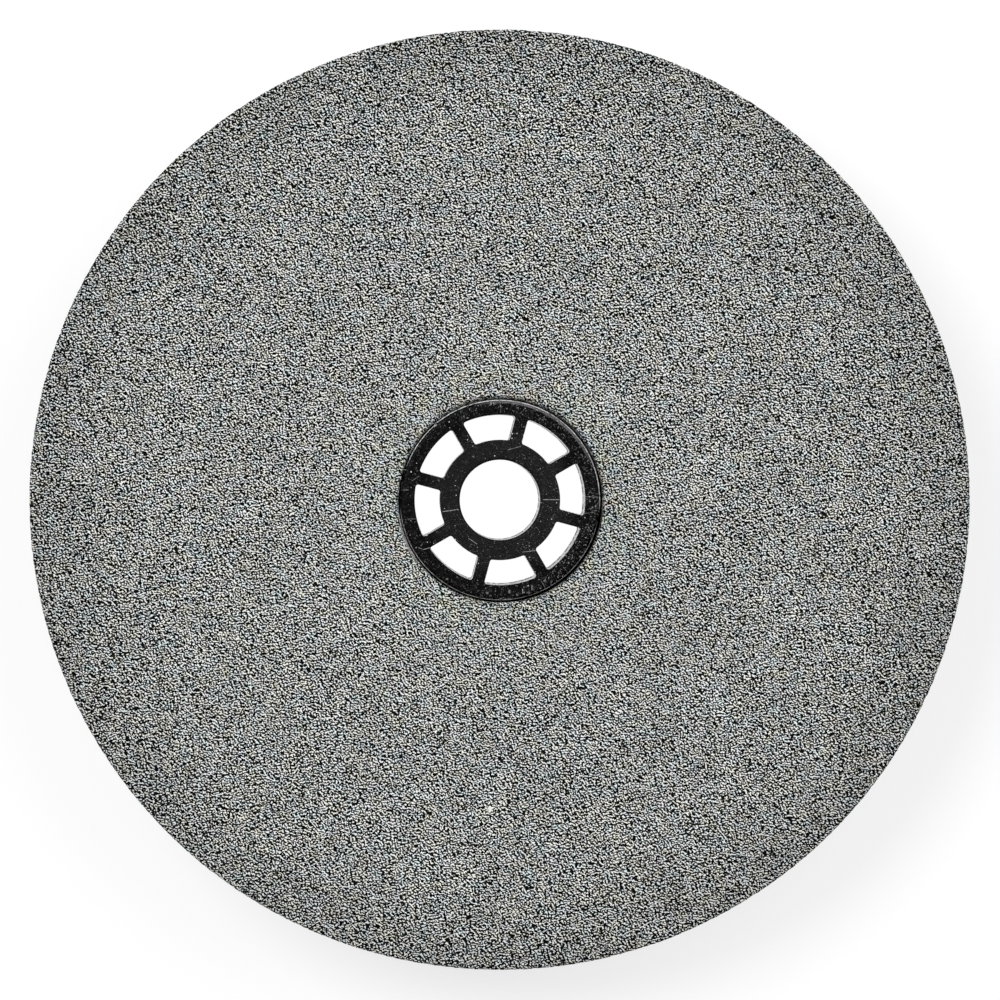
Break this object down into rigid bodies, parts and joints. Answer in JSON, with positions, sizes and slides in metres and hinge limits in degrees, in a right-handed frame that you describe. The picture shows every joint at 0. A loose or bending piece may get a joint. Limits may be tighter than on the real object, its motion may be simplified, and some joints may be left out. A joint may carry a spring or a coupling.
{
  "type": "bench grinding wheel",
  "caption": "Plain ring-shaped bonded abrasive wheel with a spoked plastic reducing bush in its bore.",
  "frame": {"origin": "centre of the wheel, on the spindle's axis and midway between the two faces", "axes": "+Z along the spindle's axis, out of the front face; the wheel lies flat on its back face"},
  "size_m": [0.15, 0.15, 0.02],
  "materials": {
    "abrasive": "matte",
    "plastic": "satin"
  },
  "bodies": {
    "root": {"abrasive_wheel": "abrasive", "reducing_bush": "plastic"}
  },
  "joints": []
}
